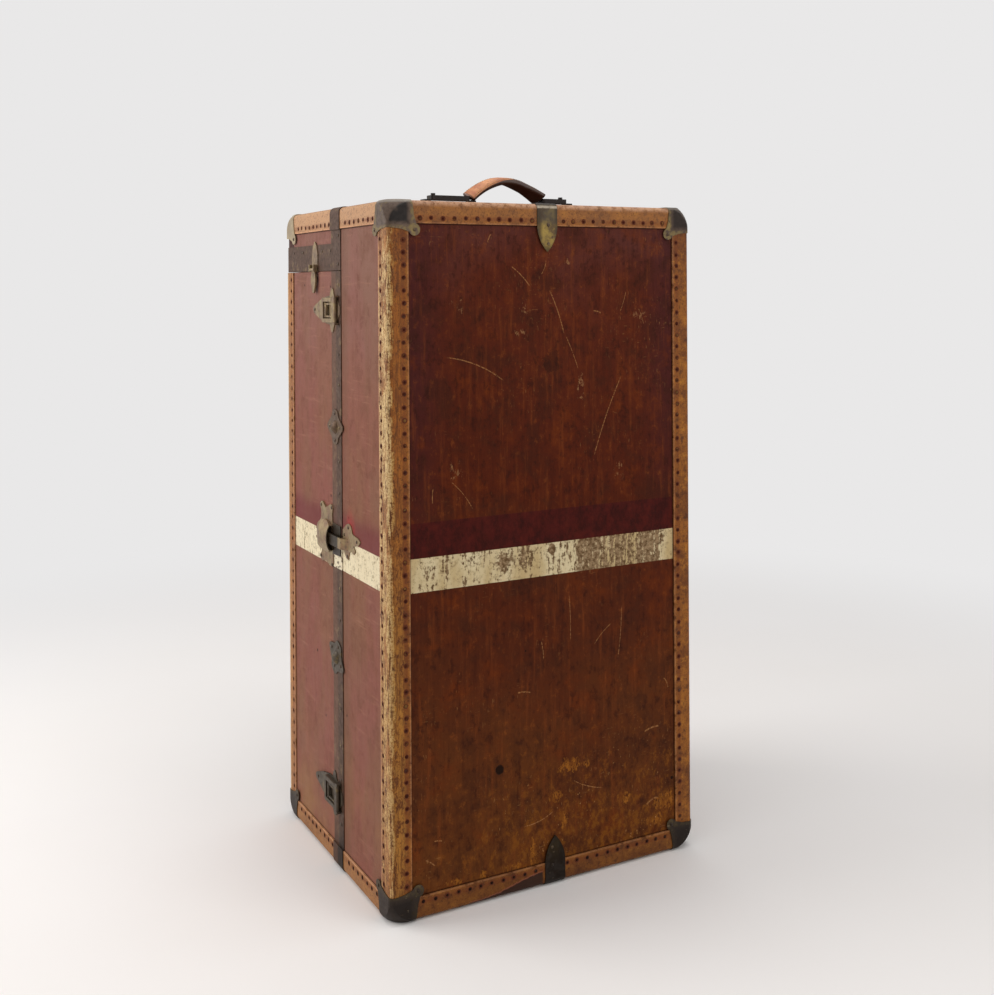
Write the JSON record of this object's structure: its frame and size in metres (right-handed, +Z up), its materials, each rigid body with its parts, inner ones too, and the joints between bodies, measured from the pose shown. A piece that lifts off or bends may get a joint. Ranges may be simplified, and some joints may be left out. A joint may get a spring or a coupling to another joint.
{
  "type": "wardrobe trunk",
  "caption": "Tall case that stands on end and opens like a book, with drawers in the shallow half and a clothes rail under a lift-up lid in the deep half.",
  "frame": {"origin": "on the floor under the middle of the closed trunk with its fittings", "axes": "+Z up along the height, -Y towards the broad front face, -X towards the side with the lock and latches, +X towards the side with the hinges"},
  "size_m": [0.5962, 0.4906, 1.1752],
  "materials": {
    "canvas": "painted canvas, dark red-brown, with a cream and a maroon band",
    "fibre": "ochre vulcanised fibre, mottled and worn",
    "old_brass": "tarnished and brown",
    "plywood": "bare edge",
    "lining": "pale lining cloth",
    "steel": "plated, dull",
    "leather": "worn, stitched",
    "drawer": "covered drawer boxes",
    "hanger": "varnished"
  },
  "bodies": {
    "rear_half": {"rear_shell": "plywood", "rear_cover": "canvas", "rear_lining": "lining", "rear_trim": "fibre", "rear_corner_caps": "old_brass", "rear_binding": "old_brass", "rear_hinge_leaves": "old_brass", "case_hinge_leaves": "old_brass", "hinge_pins": "old_brass", "upper_latch_base": "old_brass", "lower_latch_base": "old_brass", "upper_seam_plate": "old_brass", "lower_seam_plate": "old_brass", "lock_base": "old_brass", "side_channels": "steel"},
    "front_half": {"front_shell": "plywood", "front_cover": "canvas", "front_lining": "lining", "front_valance": "steel", "front_trim": "fibre", "front_corner_caps": "old_brass", "top_clip": "old_brass", "bottom_clip": "old_brass", "strike_plate": "old_brass", "front_hinge_leaves": "old_brass", "handle_ends": "old_brass", "handle_grip": "leather", "hat_shelf": "plywood", "drawer_runners": "plywood"},
    "lid": {"lid_shell": "plywood", "lid_cover": "canvas", "lid_lining": "lining", "lid_trim": "fibre", "lid_corner_caps": "old_brass", "lid_binding": "old_brass", "lid_band": "old_brass", "lid_hinge_leaves": "old_brass", "clasp_plates": "old_brass"},
    "upper_lever": {"upper_latch_lever": "old_brass"},
    "upper_bail": {"upper_latch_bail": "old_brass"},
    "lower_lever": {"lower_latch_lever": "old_brass"},
    "lower_bail": {"lower_latch_bail": "old_brass"},
    "lock": {"lock_lever": "old_brass"},
    "left_tongue": {"left_clasp": "old_brass"},
    "right_tongue": {"right_clasp": "old_brass"},
    "hanging_carriage": {"carriage": "steel"},
    "drawer_box_1": {"drawer_1": "drawer", "drawer_pull_1": "old_brass"},
    "drawer_box_2": {"drawer_2": "drawer", "drawer_pull_2": "old_brass"},
    "drawer_box_3": {"drawer_3": "drawer", "drawer_pull_3": "old_brass"},
    "drawer_box_4": {"drawer_4": "drawer", "drawer_pull_4": "old_brass"},
    "drawer_box_5": {"drawer_5": "drawer", "drawer_pull_5": "old_brass"},
    "hanger_body_1": {"hanger_1": "hanger"},
    "hanger_body_2": {"hanger_2": "hanger"},
    "hanger_body_3": {"hanger_3": "hanger"},
    "hanger_body_4": {"hanger_4": "hanger"}
  },
  "joints": [
    {"name": "front_hinge", "type": "hinge", "parent": "rear_half", "child": "front_half", "pos_m": [0.2931, -0.0429, 0.5257], "axis": [0, 0, 1], "range_deg": [0, 170]},
    {"name": "lid_hinge", "type": "hinge", "parent": "rear_half", "child": "lid", "pos_m": [0.0019, 0.2403, 1.012], "axis": [-1, 0, 0], "range_deg": [0, 100]},
    {"name": "upper_lever_hinge", "type": "hinge", "parent": "rear_half", "child": "upper_lever", "pos_m": [-0.2893, -0.0289, 0.945], "axis": [0, 0, 1], "range_deg": [0, 150]},
    {"name": "upper_bail_hinge", "type": "hinge", "parent": "upper_lever", "child": "upper_bail", "pos_m": [-0.2893, -0.0139, 0.945], "axis": [0, 0, 1], "range_deg": [0, 45]},
    {"name": "lower_lever_hinge", "type": "hinge", "parent": "rear_half", "child": "lower_lever", "pos_m": [-0.2893, -0.0289, 0.122], "axis": [0, 0, 1], "range_deg": [0, 150]},
    {"name": "lower_bail_hinge", "type": "hinge", "parent": "lower_lever", "child": "lower_bail", "pos_m": [-0.2893, -0.0139, 0.122], "axis": [0, 0, 1], "range_deg": [0, 45]},
    {"name": "lock_hinge", "type": "hinge", "parent": "rear_half", "child": "lock", "pos_m": [-0.2885, 0.0611, 0.556], "axis": [0, 0, -1], "range_deg": [0, 75]},
    {"name": "left_clasp_hinge", "type": "hinge", "parent": "lid", "child": "left_tongue", "pos_m": [-0.2894, 0.0791, 1.015], "axis": [0, 1, 0], "range_deg": [0, 150]},
    {"name": "right_clasp_hinge", "type": "hinge", "parent": "lid", "child": "right_tongue", "pos_m": [0.2932, 0.0791, 1.015], "axis": [0, -1, 0], "range_deg": [0, 150]},
    {"name": "carriage_slide", "type": "slide", "parent": "rear_half", "child": "hanging_carriage", "axis": [0, -1, 0], "range_m": [0, 0.2]},
    {"name": "drawer_1_slide", "type": "slide", "parent": "front_half", "child": "drawer_box_1", "axis": [0, 1, 0], "range_m": [0, 0.13]},
    {"name": "drawer_2_slide", "type": "slide", "parent": "front_half", "child": "drawer_box_2", "axis": [0, 1, 0], "range_m": [0, 0.13]},
    {"name": "drawer_3_slide", "type": "slide", "parent": "front_half", "child": "drawer_box_3", "axis": [0, 1, 0], "range_m": [0, 0.13]},
    {"name": "drawer_4_slide", "type": "slide", "parent": "front_half", "child": "drawer_box_4", "axis": [0, 1, 0], "range_m": [0, 0.13]},
    {"name": "drawer_5_slide", "type": "slide", "parent": "front_half", "child": "drawer_box_5", "axis": [0, 1, 0], "range_m": [0, 0.13]},
    {"name": "hanger_1_swing", "type": "hinge", "parent": "hanging_carriage", "child": "hanger_body_1", "pos_m": [0.0019, 0.1398, 0.985], "axis": [0, 1, 0], "range_deg": [-6, 6]},
    {"name": "hanger_2_swing", "type": "hinge", "parent": "hanging_carriage", "child": "hanger_body_2", "pos_m": [0.0019, 0.1608, 0.985], "axis": [0, 1, 0], "range_deg": [-6, 6]},
    {"name": "hanger_3_swing", "type": "hinge", "parent": "hanging_carriage", "child": "hanger_body_3", "pos_m": [0.0019, 0.1818, 0.985], "axis": [0, 1, 0], "range_deg": [-6, 6]},
    {"name": "hanger_4_swing", "type": "hinge", "parent": "hanging_carriage", "child": "hanger_body_4", "pos_m": [0.0019, 0.2028, 0.985], "axis": [0, 1, 0], "range_deg": [-6, 6]}
  ]
}
